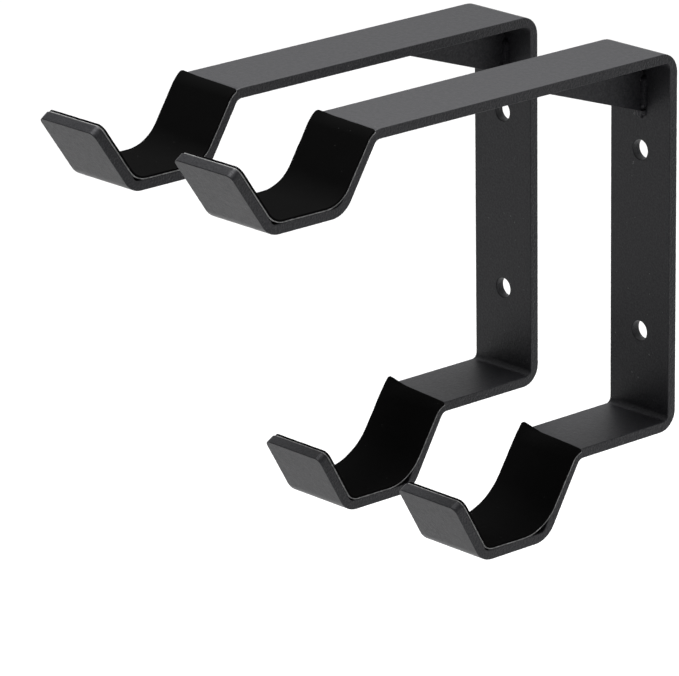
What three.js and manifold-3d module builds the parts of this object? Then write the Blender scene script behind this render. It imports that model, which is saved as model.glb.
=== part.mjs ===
// Bicycle wall rack: two identical steel brackets, side by side against one wall.
//
// Units are millimetres. +Z is up, +X is to the right for someone who faces the wall, and +Y
// points into the wall. y = 0 is the wall's face, z = 0 is the top face of the upper arms, and
// x = 0 is midway between the brackets.
//
// A bracket is one flat bar, bent across its width. Its side view is drawn in the (y, z) plane as
// a chain of corners, each rounded by a bend, and is extruded along X by the bar's width. Each
// arm ends in a cradle for a bicycle's frame tube, lined with felt on an adhesive backing.

import * as THREE from 'three';
import { mergeVertices } from 'three/addons/utils/BufferGeometryUtils.js';
import Module from 'manifold-3d';

const wasm = await Module();
wasm.setup();

// ---------------------------------------------------------------- driving dimensions

const BRACKET_SPACING = 96;          // between the two brackets' middle planes
const BAR = { width: 40, thickness: 5 };
const PLATE_HEIGHT = 190;            // over both arms

// A hook is an arm with its cradle. Its reach runs from the wall to the top of the cradle's slope,
// its floor from corner to corner, and its angles, in degrees, are measured from horizontal.
// Pressed is the inside radius of its rear bend.
const UPPER_HOOK = { reach: 196, depth: 32, slope: 58, floor: 40, lip: 56, lipLength: 36.5, pressed: 8 };
const LOWER_HOOK = { reach: 67.5, depth: 36, slope: 59.3, floor: 37.5, lip: 60.5, lipLength: 33, pressed: 3 };

// Radii of the bends' two faces. A cradle's bends are pressed in by a narrow tool, so they are
// sharp on the inside and thinner than the bar.
const WALL_BEND = { inside: 3, outside: 10 };
const ARM_BEND = { inside: 4, outside: 9 };
const FRONT_BEND = { inside: 3, outside: 11 };
const REAR_BEND_OUTSIDE = 14;
const BEND_STEPS = 8;                // facets in a bend
const LIP_CORNER_RADIUS = 3.5;       // rounding of a lip's two free corners

const HOLE = { diameter: 10, drops: [52, 143.5], sides: 36 };   // drops are from the arm's top

const GUSSET = { thickness: 5, alongArm: 78, alongPlate: 27, nose: 1.5, cornerClip: 8 };
const WELD = { leg: 3, fullness: 0.6, armRun: [14, 81], plateRun: [14, 31] };
const TOE_WELD = { width: 11, stand: 3, height: 4 };

// The lining, from the steel outwards. Its radii are large because the felt bridges the bends.
const GLUE_GAP = 0.2;
const ADHESIVE_THICKNESS = 0.6;
const FELT_THICKNESS = 0.9;
const LINING = { sideMargin: 0.3, tipMargin: 0.5, frontRadius: 12, rearRadius: 18, topRadius: 9 };

// ---------------------------------------------------------------- materials

const material = (color, roughness, metalness) => () =>
  new THREE.MeshStandardMaterial({ color, roughness, metalness });
const powderCoat = material(0x2b2b2d, 0.5, 0.1);
const weldCoat = material(0x262628, 0.42, 0.1);
const blackFelt = material(0x0b0b0c, 1, 0);
const paleAdhesive = material(0x9a9a98, 0.8, 0);

// ---------------------------------------------------------------- chains of corners, in (y, z)

const point = (y, z) => new THREE.Vector2(y, z);
const ORIGIN = point(0, 0);

/** The point at a distance from start, in a direction given in degrees from +Y towards +Z. */
function awayFrom(start, degrees, distance) {
  return point(distance, 0).rotateAround(ORIGIN, THREE.MathUtils.degToRad(degrees)).add(start);
}

/** The chain moved sideways by distance, to the left of its run, with its corners kept sharp. */
function offsetChain(chain, distance) {
  const normals = chain.slice(1).map((to, i) =>
    to.clone().sub(chain[i]).normalize().rotateAround(ORIGIN, Math.PI / 2));
  return chain.map((corner, i) => {
    const before = normals[Math.max(i - 1, 0)];
    const mitre = before.clone().add(normals[Math.min(i, normals.length - 1)]);
    return corner.clone().addScaledVector(mitre, distance / mitre.dot(before));
  });
}

/** True where the chain turns left at its corner i, so that the bend's centre is on the left. */
function turnsLeft(chain, i) {
  const before = chain[i].clone().sub(chain[i - 1]);
  return before.cross(chain[i + 1].clone().sub(chain[i])) > 0;
}

/** The arc of a given radius that rounds the chain's corner i. */
function bendArc(chain, i, radius) {
  const corner = chain[i];
  const back = chain[i - 1].clone().sub(corner).normalize();
  const onward = chain[i + 1].clone().sub(corner).normalize();
  const halfAngle = Math.acos(back.dot(onward)) / 2;
  const toCentre = back.clone().add(onward).setLength(radius / Math.sin(halfAngle));
  const spoke = back.multiplyScalar(radius / Math.tan(halfAngle)).sub(toCentre);
  const sweep = (Math.PI - 2 * halfAngle) * (turnsLeft(chain, i) ? 1 : -1);
  return Array.from({ length: BEND_STEPS + 1 }, (_, step) =>
    spoke.clone().rotateAround(ORIGIN, (sweep * step) / BEND_STEPS).add(corner).add(toCentre));
}

/**
 * One face of a bent strip, as points. The strip lies between the offsets low and high of its
 * chain, the face is at offset, and bends holds the radii of the strip's two faces at each
 * corner between the chain's ends.
 */
function stripFace(chain, offset, low, high, bends) {
  const moved = offsetChain(chain, offset);
  const arcs = bends.map(({ inside, outside }, bend) => {
    const fromInside = turnsLeft(chain, bend + 1) ? high - offset : offset - low;
    const radius = THREE.MathUtils.mapLinear(fromInside, 0, high - low, inside, outside);
    return bendArc(moved, bend + 1, radius);
  });
  return [moved[0], ...arcs.flat(), moved[moved.length - 1]];
}

/** The closed outline of a bent strip. */
function stripOutline(chain, low, high, bends) {
  const lowFace = stripFace(chain, low, low, high, bends);
  return [...lowFace, ...stripFace(chain, high, low, high, bends).reverse()];
}

// ---------------------------------------------------------------- the hooks' corners

/** Corners of a hook's upper surface, from the lip's tip to the top of the cradle's slope. */
function hookCorners(hook, armTop) {
  const crest = point(-hook.reach, armTop);
  const rear = awayFrom(crest, 180 + hook.slope, hook.depth / Math.sin(THREE.MathUtils.degToRad(hook.slope)));
  const front = awayFrom(rear, 180, hook.floor);
  const tip = awayFrom(front, 180 - hook.lip, hook.lipLength);
  return [tip, front, rear, crest];
}

const upperHook = hookCorners(UPPER_HOOK, 0);
const lowerHook = hookCorners(LOWER_HOOK, BAR.thickness - PLATE_HEIGHT);

// ---------------------------------------------------------------- geometry and manifolds

/** An outline in (y, z), extruded along X and centred on x = 0. */
function extrudeAcross(outline, width) {
  const options = { depth: width, bevelEnabled: false };
  const geometry = new THREE.ExtrudeGeometry(new THREE.Shape(outline), options);
  const turn = new THREE.Matrix4().makeBasis(
    new THREE.Vector3(0, 1, 0),
    new THREE.Vector3(0, 0, 1),
    new THREE.Vector3(1, 0, 0),
  );
  return geometry.translate(0, 0, -width / 2).applyMatrix4(turn);
}

function toManifold(geometry) {
  geometry.deleteAttribute('normal');
  geometry.deleteAttribute('uv');
  const merged = mergeVertices(geometry, 1e-4);
  return new wasm.Manifold(new wasm.Mesh({
    numProp: 3,
    vertProperties: new Float32Array(merged.attributes.position.array),
    triVerts: new Uint32Array(merged.index.array),
  }));
}

function toGeometry(manifold) {
  const mesh = manifold.getMesh();
  const geometry = new THREE.BufferGeometry();
  geometry.setAttribute('position', new THREE.BufferAttribute(mesh.vertProperties, 3));
  geometry.setIndex(new THREE.BufferAttribute(mesh.triVerts, 1));
  geometry.computeVertexNormals();
  return geometry;
}

function cut(geometry, cutters) {
  const blank = toManifold(geometry);
  return toGeometry(cutters.reduce((solid, cutter) => solid.subtract(toManifold(cutter)), blank));
}

/** A cutter for one free corner of a lip: what a square corner has more than a rounded one. */
function lipCornerCutter(tip, front, side, width) {
  const r = LIP_CORNER_RADIUS;
  const waste = new THREE.Shape();
  waste.moveTo(-r, r);
  waste.lineTo(-r, 0);
  waste.absarc(-r, -r, r, Math.PI / 2, 0, true);
  waste.lineTo(r, -r);
  waste.lineTo(r, r);
  const depth = BAR.thickness * 4;
  const geometry = new THREE.ExtrudeGeometry(waste, { depth, bevelEnabled: false, curveSegments: 8 });
  const outward = new THREE.Vector3(side, 0, 0);
  const upLip = new THREE.Vector3(0, tip.x - front.x, tip.y - front.y).normalize();
  const turn = new THREE.Matrix4().makeBasis(outward, upLip, outward.clone().cross(upLip));
  turn.setPosition((side * width) / 2, tip.x, tip.y);
  return geometry.translate(0, 0, -depth / 2).applyMatrix4(turn);
}

const lipCornerCutters = (tip, front, width) =>
  [-1, 1].map((side) => lipCornerCutter(tip, front, side, width));

// ---------------------------------------------------------------- the bar

/** The bar's chain is its wall face and the upper hook's top, then the lower hook's underside. */
function barOutline() {
  const armTop = point(0, BAR.thickness - PLATE_HEIGHT);
  const underside = offsetChain([armTop, ...[...lowerHook].reverse()], BAR.thickness);
  const chain = [...upperHook, point(0, 0), ...underside];
  const rearBend = ({ pressed }) => ({ inside: pressed, outside: REAR_BEND_OUTSIDE });
  const upperBends = [FRONT_BEND, rearBend(UPPER_HOOK), ARM_BEND];
  const lowerBends = [ARM_BEND, rearBend(LOWER_HOOK), FRONT_BEND];
  const bends = [...upperBends, WALL_BEND, WALL_BEND, ...lowerBends];
  return stripOutline(chain, -BAR.thickness, 0, bends);
}

function screwHoleCutter(drop) {
  const radius = HOLE.diameter / 2;
  const geometry = new THREE.CylinderGeometry(radius, radius, BAR.thickness * 4, HOLE.sides);
  return geometry.translate(0, 0, -drop);
}

function bentBar() {
  return cut(extrudeAcross(barOutline(), BAR.width), [
    ...HOLE.drops.map(screwHoleCutter),
    ...lipCornerCutters(upperHook[0], upperHook[1], BAR.width),
    ...lipCornerCutters(lowerHook[0], lowerHook[1], BAR.width),
  ]);
}

// ---------------------------------------------------------------- the gusset and its welds

/** A triangle in the corner under the arm, blunt at both toes and clipped to clear the bend. */
function gussetPlate() {
  const face = -BAR.thickness;       // of the plate, in y, and of the arm's underside, in z
  const { alongArm, alongPlate, nose, cornerClip } = GUSSET;
  const outline = [
    point(face - cornerClip, face),
    point(face - alongArm, face),
    point(face - alongArm, face - nose),
    point(face - nose, face - alongPlate),
    point(face, face - alongPlate),
    point(face, face - cornerClip),
  ];
  return extrudeAcross(outline, GUSSET.thickness);
}

/** A fillet weld from start, running along sideways × legwise, with its face slightly full. */
function filletWeld(start, sideways, legwise, length) {
  const { leg, fullness } = WELD;
  const section = new THREE.Shape();
  section.lineTo(leg, 0);
  section.quadraticCurveTo(leg * fullness, leg * fullness, 0, leg);
  const options = { depth: length, bevelEnabled: false, curveSegments: 5 };
  const geometry = new THREE.ExtrudeGeometry(section, options);
  const turn = new THREE.Matrix4().makeBasis(sideways, legwise, sideways.clone().cross(legwise));
  return geometry.applyMatrix4(turn.setPosition(start));
}

/** The weld between gusset and arm. Side is 1 for its right side and -1 for its left. */
function armWeld(side) {
  const [near, far] = WELD.armRun;
  const start = side > 0 ? -far : -near;
  return filletWeld(
    new THREE.Vector3((side * GUSSET.thickness) / 2, start, -BAR.thickness),
    new THREE.Vector3(side, 0, 0),
    new THREE.Vector3(0, 0, -1),
    far - near,
  );
}

/** The weld between gusset and wall plate. */
function plateWeld(side) {
  const [high, low] = WELD.plateRun;
  const start = side > 0 ? -high : -low;
  return filletWeld(
    new THREE.Vector3((side * GUSSET.thickness) / 2, -BAR.thickness, start),
    new THREE.Vector3(side, 0, 0),
    new THREE.Vector3(0, -1, 0),
    low - high,
  );
}

/** The end of the weld, a quarter round across the gusset's lower toe. */
function toeWeld() {
  const outline = new THREE.Shape();
  outline.moveTo(0, 0);
  outline.absellipse(0, 0, TOE_WELD.stand, TOE_WELD.height, Math.PI, Math.PI * 1.5, false);
  const geometry = extrudeAcross(outline.getPoints(6), TOE_WELD.width);
  return geometry.translate(0, -BAR.thickness, -BAR.thickness - GUSSET.alongPlate);
}

// ---------------------------------------------------------------- the lining

/** One layer of a cradle's lining, between two heights over the steel. It ends on the crest. */
function liningLayer([tip, front, rear, crest], low, high) {
  const { sideMargin, tipMargin, frontRadius, rearRadius, topRadius } = LINING;
  const start = tip.clone().add(front.clone().sub(tip).setLength(tipMargin));
  const beyond = point(crest.x + topRadius, crest.y);
  const bends = [frontRadius, rearRadius, topRadius].map((inside) => ({ inside, outside: inside + high }));
  const pastCrest = BEND_STEPS / 2 + 1;
  const face = (offset) => {
    const points = stripFace([start, front, rear, crest, beyond], offset, 0, high, bends);
    return points.slice(0, -pastCrest);
  };
  const width = BAR.width - 2 * sideMargin;
  const layer = extrudeAcross([...face(low), ...face(high).reverse()], width);
  return cut(layer, lipCornerCutters(start, front, width));
}

const adhesiveLayer = (hook) => liningLayer(hook, GLUE_GAP, GLUE_GAP + ADHESIVE_THICKNESS);

function feltLayer(hook) {
  const low = GLUE_GAP + ADHESIVE_THICKNESS + GLUE_GAP;
  return liningLayer(hook, low, low + FELT_THICKNESS);
}

// ---------------------------------------------------------------- assembly

const PIECES = {
  bar: [bentBar, powderCoat],
  gusset: [gussetPlate, powderCoat],
  arm_weld_right: [() => armWeld(1), weldCoat],
  arm_weld_left: [() => armWeld(-1), weldCoat],
  plate_weld_right: [() => plateWeld(1), weldCoat],
  plate_weld_left: [() => plateWeld(-1), weldCoat],
  toe_weld: [toeWeld, weldCoat],
  upper_liner: [() => feltLayer(upperHook), blackFelt],
  upper_adhesive: [() => adhesiveLayer(upperHook), paleAdhesive],
  lower_liner: [() => feltLayer(lowerHook), blackFelt],
  lower_adhesive: [() => adhesiveLayer(lowerHook), paleAdhesive],
};

function bracket(name, x) {
  const group = new THREE.Group();
  group.position.x = x;
  for (const [piece, [makeGeometry, makeMaterial]] of Object.entries(PIECES)) {
    const mesh = new THREE.Mesh(makeGeometry(), makeMaterial());
    mesh.name = `${name}_${piece}`;
    group.add(mesh);
  }
  return group;
}

const rack = new THREE.Group();
rack.add(bracket('right', BRACKET_SPACING / 2), bracket('left', -BRACKET_SPACING / 2));

export default rack;
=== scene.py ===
"""Bicycle wall rack: two powder-coated steel brackets with felt-lined cradles, in a white studio.

Everything is in metres, in the CAD frame: +Z up, +X to the right, +Y into the wall. The bars and
gussets are the CAD nodes with rounded edges. The weld beads, the felt liners and their adhesive
backing are made here, in place of the plain CAD solids.
"""

import bpy
import bmesh
import math
from mathutils import Matrix, Vector, noise


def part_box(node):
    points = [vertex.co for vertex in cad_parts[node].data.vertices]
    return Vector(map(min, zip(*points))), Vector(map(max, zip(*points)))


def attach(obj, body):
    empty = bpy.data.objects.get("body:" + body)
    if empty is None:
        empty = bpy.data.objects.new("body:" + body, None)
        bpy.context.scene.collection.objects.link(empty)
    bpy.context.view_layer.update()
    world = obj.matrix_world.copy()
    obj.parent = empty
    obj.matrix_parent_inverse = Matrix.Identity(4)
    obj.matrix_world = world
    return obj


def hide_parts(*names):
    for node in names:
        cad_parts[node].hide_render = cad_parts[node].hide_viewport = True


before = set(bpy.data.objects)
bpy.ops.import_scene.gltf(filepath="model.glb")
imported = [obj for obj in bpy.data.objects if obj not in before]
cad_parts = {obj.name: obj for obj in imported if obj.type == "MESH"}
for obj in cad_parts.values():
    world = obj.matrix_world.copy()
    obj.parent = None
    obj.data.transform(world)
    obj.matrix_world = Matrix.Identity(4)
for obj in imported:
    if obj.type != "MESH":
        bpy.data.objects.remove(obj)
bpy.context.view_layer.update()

MM = 0.001

# ------------------------------------------------------------------ dimensions of the CAD frame

BRACKETS = ("right", "left")
BAR_THICKNESS = 5 * MM
ARM_BEND_OUTSIDE = 9 * MM            # radius of the bend over a cradle's crest
LIP_CORNER_RADIUS = 3.5 * MM
GUSSET_ALONG_PLATE = 27 * MM

# A hook's steel surface in the (y, z) plane: reach is from the wall to the top of the cradle's
# slope, top is the arm's height, and the angles, in degrees, are measured from horizontal.
HOOKS = {
    "upper": dict(
        top=0.0, reach=196 * MM, depth=32 * MM, slope=58,
        floor=40 * MM, lip=56, lip_length=36.5 * MM,
    ),
    "lower": dict(
        top=-185 * MM, reach=67.5 * MM, depth=36 * MM, slope=59.3,
        floor=37.5 * MM, lip=60.5, lip_length=33 * MM,
    ),
}

WELD_LEG = 3 * MM
ARM_WELD = (14 * MM, 81 * MM)        # where it runs, from the wall
PLATE_WELD = (14 * MM, 31 * MM)      # where it runs, from the arm's top

# ------------------------------------------------------------------ the lining's shape

BACKING_LAYER = (0.1 * MM, 0.6 * MM)     # heights over the steel
FELT_LAYER = (0.7 * MM, 1.7 * MM)
LINING_WIDTH = 39.7 * MM
TIP_MARGIN = 0.5 * MM
CREST_CORNER_RADIUS = 1.5 * MM

# The hand-cut strips aren't quite square to the bars. Each pair of values is for the right and
# left edge: the radii at which the strip bridges the bends, how much of the crest's bend it
# covers, and how far to the right it lies at the tip, the two bends and the crest. Peel is how
# straight the left corner stays at the crest, from 0, lying down on it, to 1.
LINING = {
    "upper": dict(
        front=(10 * MM, 12 * MM), rear=(15 * MM, 20 * MM), cover=(0.58, 0.72), peel=0.4,
        drift=((0.3 * MM, 0.3 * MM), (0.0, 0.0), (0.9 * MM, 0.1 * MM), (2.0 * MM, 0.8 * MM)),
    ),
    "lower": dict(
        front=(6 * MM, 10 * MM), rear=(22 * MM, 33 * MM), cover=(0.68, 0.95), peel=0.9,
        drift=((0.4 * MM, 0.4 * MM), (0.0, 0.0), (0.9 * MM, 0.0), (2.9 * MM, 1.2 * MM)),
    ),
}

# ------------------------------------------------------------------ material helpers

# The Mix node's sockets for colours, by number: its other kinds of data use the same names.
MIX_FACTOR = 0
MIX_FIRST = 6
MIX_SECOND = 7
MIX_RESULT = 2


class Nodes:
    """A new material's node tree, with short ways to add and join nodes."""

    def __init__(self, name):
        self.material = bpy.data.materials.new(name)
        self.material.use_nodes = True
        self.tree = self.material.node_tree
        self.shader = self.tree.nodes["Principled BSDF"]
        self.place = self.add("ShaderNodeTexCoord").outputs["Object"]

    def add(self, kind, inputs=None, **settings):
        """A new node. Each input is a value, or a socket to join it to."""
        node = self.tree.nodes.new(kind)
        for key, value in settings.items():
            setattr(node, key, value)
        for key, value in (inputs or {}).items():
            self.feed(node.inputs[key], value)
        return node

    def feed(self, socket, value):
        """Gives an input its value, or joins another socket to it."""
        if isinstance(value, bpy.types.NodeSocket):
            self.tree.links.new(value, socket)
        else:
            socket.default_value = value

    def set(self, **values):
        """Sets the shader's inputs, whose names are written with _ for a space."""
        for key, value in values.items():
            self.feed(self.shader.inputs[key.replace("_", " ")], value)

    def grain(self, scale, detail=2.0, roughness=0.5):
        """Noise between 0 and 1, with a given number of features to a metre."""
        inputs = {"Vector": self.place, "Scale": scale, "Detail": detail, "Roughness": roughness}
        return self.add("ShaderNodeTexNoise", inputs).outputs["Fac"]

    def ramp(self, value, low, high, to_low=0.0, to_high=1.0):
        """The value mapped from low..high to to_low..to_high, and kept within them."""
        inputs = {
            "Value": value, "From Min": low, "From Max": high, "To Min": to_low, "To Max": to_high,
        }
        node = self.add("ShaderNodeMapRange", inputs, interpolation_type="SMOOTHSTEP")
        return node.outputs["Result"]

    def sideways(self, low, high):
        """1 where the surface faces along X, and 0 elsewhere."""
        facing = self.add("ShaderNodeTexCoord").outputs["Normal"]
        x = self.add("ShaderNodeSeparateXYZ", {"Vector": facing}).outputs["X"]
        size = self.add("ShaderNodeMath", {0: x}, operation="ABSOLUTE").outputs["Value"]
        return self.ramp(size, low, high)

    def blend(self, fac, first, second):
        """The mix of two colours, each given as a value or a socket."""
        inputs = {MIX_FACTOR: fac, MIX_FIRST: first, MIX_SECOND: second}
        return self.add("ShaderNodeMix", inputs, data_type="RGBA").outputs[MIX_RESULT]

    def bump(self, height, distance, strength, normal=None):
        """The normal of a surface that rises by up to distance, over another bump if given."""
        inputs = {"Height": height, "Distance": distance, "Strength": strength}
        if normal is not None:
            inputs["Normal"] = normal
        return self.add("ShaderNodeBump", inputs).outputs["Normal"]


def grey(value, blue=0.0):
    """A linear grey, with a little more blue."""
    return (value, value, value + blue, 1.0)


# ------------------------------------------------------------------ materials

# In these, a grain is in features to a metre, a range holds the noise values between which one
# state turns into the other, and a shade is a linear grey.

COAT_BLUE = 0.0012                       # what its shades have more in blue
COAT_TINT = (0.965, 0.965, 1.0, 1.0)     # of its reflections
COAT_IOR = 1.4
COAT_ROUGHNESS = (0.48, 0.52)
ROUGHNESS_GRAIN = 400
ROUGHNESS_RANGE = (0.3, 0.7)
SPECKLE_GRAIN = 1000
SPECKLE_RANGE = (0.35, 0.65)
DUST_GRAIN = 520
DUST_RANGE = (0.77, 0.8)
DUST_SHADE = 0.045
PEEL_GRAIN = 450
PEEL_HEIGHT = 0.12 * MM
FINE_GRAIN = 1100
FINE_HEIGHT = 0.2 * MM
COAT_BUMP = 0.5                          # strength of the peel and of the fine grain
CUT_GRAIN = 900
CUT_HEIGHT = 0.45 * MM
CUT_SIDE_RANGE = (0.8, 0.95)             # X part of the normal, where a side becomes a cut one


def powder_coat(name, shade, gloss=0.5, cut_height=0.0):
    """Satin black powder coat: orange peel under a fine grain, with dark and pale speckle and a
    little dust. Where cut_height is given, the sides that face along X are coarser."""
    n = Nodes(name)
    speckle = n.ramp(n.grain(SPECKLE_GRAIN), *SPECKLE_RANGE)
    coat = n.blend(speckle, grey(0, COAT_BLUE), grey(2 * shade, COAT_BLUE))
    dust = n.ramp(n.grain(DUST_GRAIN, detail=1.0), *DUST_RANGE)
    n.set(Base_Color=n.blend(dust, coat, grey(DUST_SHADE)))
    n.set(Roughness=n.ramp(n.grain(ROUGHNESS_GRAIN), *ROUGHNESS_RANGE, *COAT_ROUGHNESS))
    n.set(IOR=COAT_IOR, Specular_Tint=COAT_TINT, Specular_IOR_Level=gloss)
    peel = n.bump(n.grain(PEEL_GRAIN), PEEL_HEIGHT, COAT_BUMP)
    fine = n.bump(n.grain(FINE_GRAIN), FINE_HEIGHT, COAT_BUMP, peel)
    cut = n.grain(CUT_GRAIN, detail=3.0)
    n.set(Normal=n.bump(cut, cut_height, n.sideways(*CUT_SIDE_RANGE), fine))
    return n.material


FELT_SHADE = 0.0029
FELT_GLOSS = 0.005
LINT_GRAIN = 700
LINT_RANGE = (0.78, 0.82)
LINT_SHADE = 0.03
FIBRE_GRAIN = 2500
FIBRE_HEIGHT = 0.12 * MM
FIBRE_BUMP = 0.7


def black_felt():
    """Dense, matt black felt: short crossing fibres, with a little pale lint caught in them."""
    n = Nodes("black felt")
    lint = n.ramp(n.grain(LINT_GRAIN, detail=1.0), *LINT_RANGE)
    n.set(Base_Color=n.blend(lint, grey(FELT_SHADE), grey(LINT_SHADE)))
    n.set(Roughness=1.0, Specular_IOR_Level=FELT_GLOSS)
    fibres = n.grain(FIBRE_GRAIN, detail=4.0, roughness=0.7)
    n.set(Normal=n.bump(fibres, FIBRE_HEIGHT, FIBRE_BUMP))
    return n.material


ADHESIVE_SHADES = (0.11, 0.24)
ADHESIVE_GRAIN = 500
ADHESIVE_RANGE = (0.3, 0.7)
ADHESIVE_ROUGHNESS = 0.8
ADHESIVE_GLOSS = 0.3
FOAM_GRAIN = 1800
FOAM_HEIGHT = 0.03 * MM
FOAM_BUMP = 0.5


def pale_adhesive():
    """The adhesive backing, which shows as a pale grey line along its cut edges."""
    n = Nodes("pale adhesive")
    dark, pale = ADHESIVE_SHADES
    patches = n.ramp(n.grain(ADHESIVE_GRAIN, detail=3.0), *ADHESIVE_RANGE)
    n.set(Base_Color=n.blend(patches, grey(dark), grey(pale)))
    n.set(Roughness=ADHESIVE_ROUGHNESS, Specular_IOR_Level=ADHESIVE_GLOSS)
    n.set(Normal=n.bump(n.grain(FOAM_GRAIN), FOAM_HEIGHT, FOAM_BUMP))
    return n.material


STUDIO_SHADES = (0.9, 0.92)
STUDIO_GRAIN = 0.8
STUDIO_ROUGHNESS = 0.9
STUDIO_GLOSS = 0.2


def studio_floor():
    """Matt white paper."""
    n = Nodes("studio floor")
    dark, pale = STUDIO_SHADES
    n.set(Base_Color=n.blend(n.grain(STUDIO_GRAIN, detail=1.0), grey(dark), grey(pale)))
    n.set(Roughness=STUDIO_ROUGHNESS, Specular_IOR_Level=STUDIO_GLOSS)
    return n.material


# ------------------------------------------------------------------ bars and gussets

FACET_GAP = 0.005 * MM                   # corners closer than this are one
FLAT_ANGLE = math.radians(0.5)           # faces this close to flat are one face
EDGE_ANGLE = math.radians(40)            # edges sharper than this are rounded
EDGE_SEGMENTS = 3
FLAT_FACE_WEIGHT = 100                   # how much the larger faces' normals count
BAR_EDGE_RADIUS = 0.4 * MM
GUSSET_EDGE_RADIUS = 0.3 * MM


def round_edges(node, radius):
    """Rounds the sharp edges of a CAD node, once its flat faces are whole again."""
    for polygon in node.data.polygons:
        polygon.use_smooth = True
    weld = node.modifiers.new("join facets", "WELD")
    weld.merge_threshold = FACET_GAP
    flats = node.modifiers.new("whole flat faces", "DECIMATE")
    flats.decimate_type = "DISSOLVE"
    flats.angle_limit = FLAT_ANGLE
    bevel = node.modifiers.new("rounded edges", "BEVEL")
    bevel.width = radius
    bevel.segments = EDGE_SEGMENTS
    bevel.limit_method = "ANGLE"
    bevel.angle_limit = EDGE_ANGLE
    bevel.use_clamp_overlap = False
    shading = node.modifiers.new("flat faces shade flat", "WEIGHTED_NORMAL")
    shading.mode = "FACE_AREA"
    shading.weight = FLAT_FACE_WEIGHT


def finish_node(name, material, radius):
    """Gives a CAD node its material and rounded edges."""
    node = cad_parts[name]
    node.data.materials.clear()
    node.data.materials.append(material)
    round_edges(node, radius)


# ------------------------------------------------------------------ new pieces

SHARP_ANGLE = math.radians(50)           # a new piece's edges sharper than this are creases


def mix(first, second, fac):
    """The value at fac on the way from first, at 0, to second, at 1."""
    return first + (second - first) * fac


def smooth_step(value):
    """The value kept within 0 and 1, with a soft start and end."""
    value = min(max(value, 0.0), 1.0)
    return value * value * (3 - 2 * value)


def ring_mesh(name, rings):
    """A closed mesh through rings of points, all of the same even length. Each end is capped with
    quads across its ring."""
    bm = bmesh.new()
    rows = [[bm.verts.new(point) for point in ring] for ring in rings]
    count = len(rows[0])
    for low, high in zip(rows, rows[1:]):
        for i in range(count):
            j = (i + 1) % count
            bm.faces.new((low[i], low[j], high[j], high[i]))
    for row in (rows[0], rows[-1]):
        for i in range(count // 2 - 1):
            bm.faces.new((row[i], row[i + 1], row[-i - 2], row[-i - 1]))
    bmesh.ops.recalc_face_normals(bm, faces=bm.faces)
    mesh = bpy.data.meshes.new(name)
    bm.to_mesh(mesh)
    bm.free()
    return mesh


def add_piece(name, rings, material, replaced):
    """A new piece on the rack, in place of a CAD node."""
    piece = bpy.data.objects.new(name, ring_mesh(name, rings))
    bpy.context.scene.collection.objects.link(piece)
    piece.data.materials.append(material)
    for polygon in piece.data.polygons:
        polygon.use_smooth = True
    piece.data.set_sharp_from_angle(angle=SHARP_ANGLE)
    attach(piece, "root")
    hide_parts(replaced)
    return piece


# ------------------------------------------------------------------ weld beads

BEAD_STEP = 0.3 * MM
BEAD_PROFILE = 8                         # faces across a bead
BEAD_BACK = BEAD_PROFILE // 2            # faces from a bead's edge to its root
BEAD_ROOT = 0.3 * MM                     # how far a bead reaches into the steel
BEAD_ROUNDNESS = 0.45                    # 0 is a square section, 1 a quarter circle
BEAD_SIZE = 0.85                         # of the leg
BEAD_END = 0.02                          # square of the share of its size at its very ends
RIPPLE_PITCH = 1.3 * MM
RIPPLE_DEPTH = 0.16 * MM
RIPPLE_BOW = 0.8 * MM                    # how far a ripple's middle lies behind its ends
WANDER_DEPTH = 0.25 * MM
WANDER_LENGTH = 6 * MM

TOE_WELD = dict(width=8.5 * MM, stand=2.4 * MM, height=3.3 * MM)
TOE_STEPS = 36
TOE_POWER = 3                            # of its outline: a higher one is squarer
TOE_END = 0.03                           # square of the share of its size at its very ends
TOE_LUMPS = dict(depth=0.45, along=2.6, around=1.8)

ARM_WELD_SEED = 3
PLATE_WELD_SEED = 7
TOE_WELD_SEED = 5


def bead_radius(angle, along, length, seed):
    """From the corner between two plates to the bead's face, at an angle between the plates."""
    square = 1 / max(math.cos(angle), math.sin(angle))
    face = WELD_LEG * mix(square, 1.0, BEAD_ROUNDNESS) * BEAD_SIZE
    ripple = (along + RIPPLE_BOW * math.sin(2 * angle)) / RIPPLE_PITCH % 1.0
    wander = WANDER_DEPTH * noise.noise(Vector((along / WANDER_LENGTH, angle, seed)))
    end = min(along, length - along) / WELD_LEG
    taper = math.sqrt(max(1 - (1 - min(end, 1.0)) ** 2, BEAD_END))
    return (face + RIPPLE_DEPTH * (ripple ** 2 - 0.5) + wander) * taper


def bead_angles():
    """The angles of a bead's face, from one plate to the other."""
    return [math.pi / 2 * i / BEAD_PROFILE for i in range(BEAD_PROFILE + 1)]


def bead_back(root, last, first):
    """Points behind a bead's face, inside the steel: from behind its last point to the root, and
    on to behind its first point."""
    inward = [mix(root, last, t / BEAD_BACK) for t in range(BEAD_BACK, -1, -1)]
    return inward + [mix(root, first, t / BEAD_BACK) for t in range(1, BEAD_BACK + 1)]


def weld_bead(name, corner, sideways, legwise, length, material, seed):
    """A rippled fillet along the corner between two plates, in place of a CAD node. Sideways and
    legwise point along the plates, away from the corner."""
    run = sideways.cross(legwise).normalized()
    steps = round(length / BEAD_STEP)
    rings = []
    for step in range(steps + 1):
        along = length * step / steps
        middle = corner + run * along
        face = []
        for angle in bead_angles():
            radius = bead_radius(angle, along, length, seed)
            face.append(middle + (sideways * math.cos(angle) + legwise * math.sin(angle)) * radius)
        root = middle - (sideways + legwise) * BEAD_ROOT
        back = bead_back(root, face[-1] - sideways * BEAD_ROOT, face[0] - legwise * BEAD_ROOT)
        rings.append(face + back)
    return add_piece(name.replace("weld", "bead"), rings, material, name)


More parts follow.
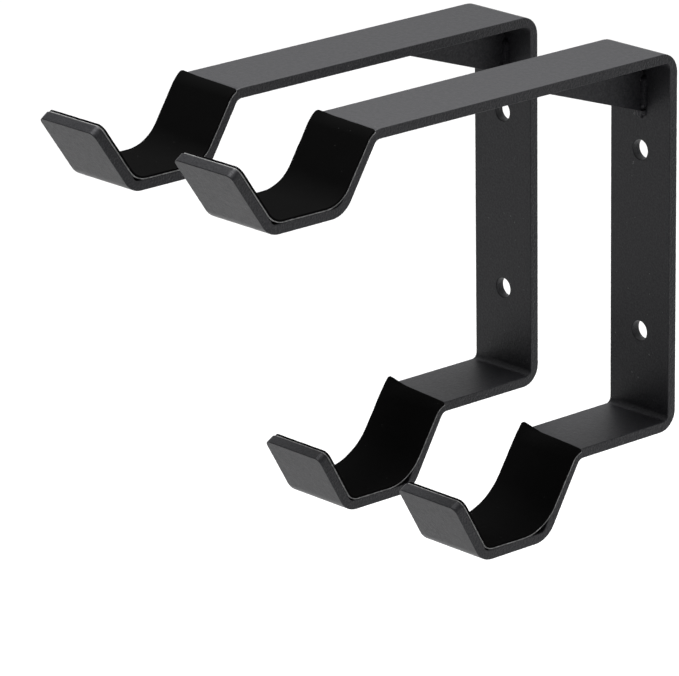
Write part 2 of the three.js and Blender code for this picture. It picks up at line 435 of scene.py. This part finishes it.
def toe_bead(name, middle_x, material, seed):
    """The lumpy end of the weld, across the gusset's lower toe, in place of a CAD node."""
    top = -BAR_THICKNESS - GUSSET_ALONG_PLATE
    rings = []
    for step in range(TOE_STEPS + 1):
        side = mix(-1.0, 1.0, step / TOE_STEPS)
        taper = math.sqrt(max(1 - abs(side) ** TOE_POWER, TOE_END))
        x = middle_x + side * TOE_WELD["width"] / 2
        face = []
        for angle in bead_angles():
            spot = Vector((side * TOE_LUMPS["along"], angle * TOE_LUMPS["around"], seed))
            size = taper * (1 + TOE_LUMPS["depth"] * noise.noise(spot))
            y = -BAR_THICKNESS - TOE_WELD["stand"] * size * math.cos(angle)
            z = top - TOE_WELD["height"] * size * math.sin(angle)
            face.append(Vector((x, y, z)))
        root = Vector((x, -BAR_THICKNESS + BEAD_ROOT, top + BEAD_ROOT))
        low = face[-1] + Vector((0, BEAD_ROOT, 0))
        high = face[0] + Vector((0, 0, BEAD_ROOT))
        rings.append(face + bead_back(root, low, high))
    return add_piece(name.replace("weld", "bead"), rings, material, name)


def add_welds(side, material):
    """The beads round a bracket's gusset. Way is 1 on its right side and -1 on its left."""
    low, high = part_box(f"{side}_gusset")
    down, outwards = Vector((0, 0, -1)), Vector((0, -1, 0))
    for hand, x, way in (("right", high[0], 1), ("left", low[0], -1)):
        sideways = Vector((way, 0, 0))
        near, far = ARM_WELD
        corner = Vector((x, -far if way > 0 else -near, -BAR_THICKNESS))
        name = f"{side}_arm_weld_{hand}"
        weld_bead(name, corner, sideways, down, far - near, material, way + ARM_WELD_SEED)
        near, far = PLATE_WELD
        corner = Vector((x, -BAR_THICKNESS, -near if way > 0 else -far))
        name = f"{side}_plate_weld_{hand}"
        weld_bead(name, corner, sideways, outwards, far - near, material, way + PLATE_WELD_SEED)
    toe_bead(f"{side}_toe_weld", (low[0] + high[0]) / 2, material, TOE_WELD_SEED)


# ------------------------------------------------------------------ lining

# Where the lip's rows lie, from 0 at its tip to 1 at the front bend. They are closer together
# where its corners are rounded.
TIP_FRACTIONS = (0, 0.006, 0.02, 0.045, 0.08, 0.14, 0.25, 0.4, 0.55, 0.7, 0.85)
STRAIGHT_STEPS = 10
BEND_STEPS = 14
ACROSS = 28                              # faces across a strip
ARM_RUN = 20 * MM                        # a length of arm past the crest, for its direction
PEEL_FROM = 0.72                         # where the peel starts: 0 is the right edge, 1 the left
STRIP_EDGE_RADIUS = 0.15 * MM
STRIP_EDGE_SEGMENTS = 2

# The strip's surface waves up and down, and its cut edges wobble sideways. Across is how fast
# each changes across the strip.
WAVE = dict(height=0.12 * MM, length=7 * MM, across=3)
WOBBLE = dict(height=0.12 * MM, length=4 * MM, across=0.5)
WOBBLE_SEED_STEP = 9
WOBBLE_FROM = 0.9                        # where the wobble starts: 0 is the middle, 1 an edge
SEEDS_PER_BRACKET = 10


def hook_corners(hook):
    """Corners of a hook's upper surface as (y, z), from the lip's tip to past the crest."""
    slope, lip = math.radians(hook["slope"]), math.radians(hook["lip"])
    crest = Vector((-hook["reach"], hook["top"]))
    rear = crest - hook["depth"] * Vector((1 / math.tan(slope), 1))
    front = rear - Vector((hook["floor"], 0))
    up_lip = Vector((-math.cos(lip), math.sin(lip)))
    tip = front + up_lip * hook["lip_length"]
    return [tip - up_lip * TIP_MARGIN, front, rear, crest, crest + Vector((ARM_RUN, 0))]


def offset_chain(chain, distance):
    """The chain moved to the left of its run, with its corners kept sharp."""
    normals = [Vector((a.y - b.y, b.x - a.x)).normalized() for a, b in zip(chain, chain[1:])]
    moved = []
    for i, corner in enumerate(chain):
        before = normals[max(i - 1, 0)]
        mitre = before + normals[min(i, len(normals) - 1)]
        moved.append(corner + mitre * (distance / mitre.dot(before)))
    return moved


def bend(before, corner, after, radius, covered=1.0):
    """Points round a corner, and the direction in which each one runs."""
    back, onward = (before - corner).normalized(), (after - corner).normalized()
    half = math.acos(back.dot(onward)) / 2
    centre = corner + (back + onward).normalized() * (radius / math.sin(half))
    spoke = corner + back * (radius / math.tan(half)) - centre
    turn = math.pi - 2 * half
    if (-back).cross(onward) < 0:
        turn = -turn
    points = []
    for step in range(BEND_STEPS + 1):
        rotation = Matrix.Rotation(turn * covered * step / BEND_STEPS, 2)
        points.append((centre + rotation @ spoke, rotation @ -back))
    return points


def crest_bend(chain, hook, lining, height, left):
    """The strip's end on the crest's bend, which it covers in part. Its left corner peels off."""
    radius = ARM_BEND_OUTSIDE + height
    cover = mix(*lining["cover"], left)
    crest = bend(*chain[2:5], radius, cover)
    peel = lining["peel"] * smooth_step((left - PEEL_FROM) / (1 - PEEL_FROM))
    start, way = crest[0]
    reach = radius * math.radians(hook["slope"]) * cover
    peeled = []
    for step, (point, direction) in enumerate(crest):
        straight = start + way * (reach * step / BEND_STEPS)
        peeled.append((mix(point, straight, peel), mix(direction, way, peel)))
    return peeled


def strip_run(hook, lining, height, across):
    """A line along the strip, as points with their running directions. Across is -1 at the
    strip's left edge and 1 at its right edge."""
    left = (1 - across) / 2
    chain = offset_chain(hook_corners(hook), height)
    inner = FELT_LAYER[1] - height
    front = bend(*chain[0:3], mix(*lining["front"], left) + inner)
    rear = bend(*chain[1:4], mix(*lining["rear"], left) + inner)
    crest = crest_bend(chain, hook, lining, height, left)
    run = [(mix(chain[0], front[0][0], t), front[0][1]) for t in TIP_FRACTIONS] + front
    for first, second in ((front, rear), (rear, crest)):
        begin, end = first[-1][0], second[0][0]
        way = first[-1][1]
        run += [(mix(begin, end, i / STRAIGHT_STEPS), way) for i in range(1, STRAIGHT_STEPS)]
        run += second
    return run


def drift_along(lining, rows):
    """How far to the right the strip's right and left edges lie, for each row."""
    at_front = len(TIP_FRACTIONS) + BEND_STEPS / 2
    at_rear = at_front + BEND_STEPS + STRAIGHT_STEPS
    stops = list(zip((0, at_front, at_rear, rows), lining["drift"]))
    drifts = []
    for (start, first), (end, last) in zip(stops, stops[1:]):
        for row in range(len(drifts), math.ceil(end)):
            fac = (row - start) / (end - start)
            drifts.append([mix(a, b, fac) for a, b in zip(first, last)])
    return drifts


def corner_inset(distance, radius):
    """How much narrower a strip is on each side, at a distance from an end with rounded corners."""
    if distance >= radius:
        return 0
    return radius - math.sqrt(radius * radius - (radius - distance) ** 2)


def wave_at(wave, travelled, across, seed):
    """The height of a wave or wobble, at a distance along the strip and a place across it."""
    spot = Vector((travelled / wave["length"], across * wave["across"], seed))
    return noise.noise(spot) * wave["height"]


def strip_rings(hook, lining, layer, seed):
    """The rings of a closed strip that follows the cradle, round the bracket's middle plane."""
    low, high = layer
    spots = [(mix(-1.0, 1.0, i / ACROSS), high) for i in range(ACROSS + 1)]
    spots += [(-across, low) for across, _ in spots]
    runs = [strip_run(hook, lining, height, across) for across, height in spots]
    drifts = drift_along(lining, len(runs[0]))
    steps = [(b[0] - a[0]).length for a, b in zip(runs[0], runs[0][1:])]
    rings = []
    for row, (drift_right, drift_left) in enumerate(drifts):
        travelled = sum(steps[:row])
        inset = corner_inset(travelled, LIP_CORNER_RADIUS)
        inset += corner_inset(sum(steps[row:]), CREST_CORNER_RADIUS)
        half = LINING_WIDTH / 2 - inset
        ring = []
        for (across, height), run in zip(spots, runs):
            point, way = run[row]
            up = Vector((-way.y, way.x)).normalized()
            point = point + up * wave_at(WAVE, travelled, across, seed) * (height / high)
            drift = mix(drift_left, drift_right, (across + 1) / 2)
            wobble = wave_at(WOBBLE, travelled, across, seed + WOBBLE_SEED_STEP)
            wobble *= smooth_step((abs(across) - WOBBLE_FROM) / (1 - WOBBLE_FROM))
            ring.append(Vector((across * half + drift + wobble, point.x, point.y)))
        rings.append(ring)
    return rings


def soften_edges(piece):
    """Rounds a strip's cut edges a little."""
    bevel = piece.modifiers.new("soft edges", "BEVEL")
    bevel.width = STRIP_EDGE_RADIUS
    bevel.segments = STRIP_EDGE_SEGMENTS
    bevel.limit_method = "ANGLE"
    bevel.angle_limit = SHARP_ANGLE


def add_lining(side, level, felt, adhesive):
    """The adhesive backing and the felt on it, in one cradle."""
    low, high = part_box(f"{side}_bar")
    place = Vector(((low[0] + high[0]) / 2, 0, 0))
    seed = SEEDS_PER_BRACKET * BRACKETS.index(side) + list(HOOKS).index(level)
    layers = {}
    for kind, layer, material, slot, node in (
        ("backing", BACKING_LAYER, adhesive, "pale_adhesive", "adhesive"),
        ("felt", FELT_LAYER, felt, "black_felt", "liner"),
    ):
        rings = strip_rings(HOOKS[level], LINING[level], layer, seed)
        rings = [[point + place for point in ring] for ring in rings]
        name, replaced = f"{side}_{level}_{kind}", f"{side}_{level}_{node}"
        layers[kind] = add_piece(name, rings, material, replaced)
        soften_edges(layers[kind])


# ------------------------------------------------------------------ stage, lights and camera

FLOOR = dict(size=30, height=-1.3)

# The white studio's levels, as pairs of the sine of the elevation and the level. It is dimmer in
# front of the rack: as a direction's y goes through front, the strength goes through dim.
STUDIO_LEVELS = ((0.0, 0.86), (0.36, 0.86), (0.56, 0.5), (0.8, 0.5), (0.92, 3.2))
STUDIO_DEPTH = dict(front=(-0.6, 0.1), dim=(0.35, 1.0))

LIGHTS = {
    "top softbox": dict(
        place=(-0.1, 0.08, 1.18), target=(0, -0.12, -0.05), size=(0.3, 0.6), power=32,
    ),
    "background light": dict(
        place=(-0.8, 0.8, 0.9), target=(-3.8, 3.5, -1.3), size=(1, 1), power=44,
    ),
}

CAMERA = dict(
    place=(1.758, -1.7164, 0.6498), azimuth=48.43, elevation=18.22, roll=-0.82, lens=277.2,
)
SENSOR_WIDTH = 36                        # in millimetres, as the lens is
CLIP = (0.1, 100)


def add_floor(size, height):
    """The pale floor, which isn't part of the object."""
    bpy.ops.mesh.primitive_plane_add(size=size, location=(0, 0, height))
    floor = bpy.context.object
    floor.name = "studio_floor"
    floor.data.materials.append(studio_floor())


def add_light(name, place, target, size, power):
    """A rectangular light at a place, pointed at its target."""
    data = bpy.data.lights.new(name, "AREA")
    data.shape = "RECTANGLE"
    data.size, data.size_y = size
    data.energy = power
    light = bpy.data.objects.new(name, data)
    light.location = place
    light.rotation_euler = (Vector(target) - Vector(place)).to_track_quat("-Z", "Y").to_euler()
    bpy.context.scene.collection.objects.link(light)


def add_world(levels, front, dim):
    """The light that surrounds the rack: its level follows a direction's z, and its strength y."""
    world = bpy.data.worlds.new("studio")
    world.use_nodes = True
    tree = world.node_tree
    place = tree.nodes.new("ShaderNodeTexCoord")
    axes = tree.nodes.new("ShaderNodeSeparateXYZ")
    depth = tree.nodes.new("ShaderNodeMapRange")
    for key, value in zip(("From Min", "From Max", "To Min", "To Max"), front + dim):
        depth.inputs[key].default_value = value
    ramp = tree.nodes.new("ShaderNodeValToRGB")
    ramp.color_ramp.interpolation = "EASE"
    stops = ramp.color_ramp.elements
    while len(stops) < len(levels):
        stops.new(1.0)
    for stop, (sine, level) in zip(stops, levels):
        stop.position = sine
        stop.color = grey(level)
    background = tree.nodes["Background"]
    tree.links.new(place.outputs["Generated"], axes.inputs["Vector"])
    tree.links.new(axes.outputs["Z"], ramp.inputs["Fac"])
    tree.links.new(axes.outputs["Y"], depth.inputs["Value"])
    tree.links.new(ramp.outputs["Color"], background.inputs["Color"])
    tree.links.new(depth.outputs["Result"], background.inputs["Strength"])
    bpy.context.scene.world = world


def add_camera(place, azimuth, elevation, roll, lens):
    """Azimuth 0 looks along +Y, and 90 along -X. A positive roll lifts the camera's right side."""
    az, el = math.radians(azimuth), math.radians(elevation)
    back = Vector((math.sin(az) * math.cos(el), -math.cos(az) * math.cos(el), math.sin(el)))
    right = Vector((math.cos(az), math.sin(az), 0))
    up = back.cross(right)
    turn = Matrix((right, up, back)).transposed().to_4x4()
    data = bpy.data.cameras.new("camera")
    data.lens = lens
    data.sensor_width = SENSOR_WIDTH
    data.clip_start, data.clip_end = CLIP
    camera = bpy.data.objects.new("camera", data)
    rolled = turn @ Matrix.Rotation(math.radians(roll), 4, "Z")
    camera.matrix_world = Matrix.Translation(place) @ rolled
    bpy.context.scene.collection.objects.link(camera)
    bpy.context.scene.camera = camera


# ------------------------------------------------------------------ making it all

bpy.context.scene.view_settings.view_transform = "Standard"
add_camera(**CAMERA)

bar_steel = powder_coat("satin black powder coat", shade=0.004, cut_height=CUT_HEIGHT)
gusset_steel = powder_coat("powder-coated gusset", shade=0.005)
weld_steel = powder_coat("powder-coated weld", shade=0.004, gloss=0.4)
felt = black_felt()
adhesive = pale_adhesive()
for side in BRACKETS:
    finish_node(f"{side}_bar", bar_steel, BAR_EDGE_RADIUS)
    finish_node(f"{side}_gusset", gusset_steel, GUSSET_EDGE_RADIUS)
    add_welds(side, weld_steel)
    for level in HOOKS:
        add_lining(side, level, felt, adhesive)

add_floor(**FLOOR)
add_world(STUDIO_LEVELS, **STUDIO_DEPTH)
for name, settings in LIGHTS.items():
    add_light(name, **settings)
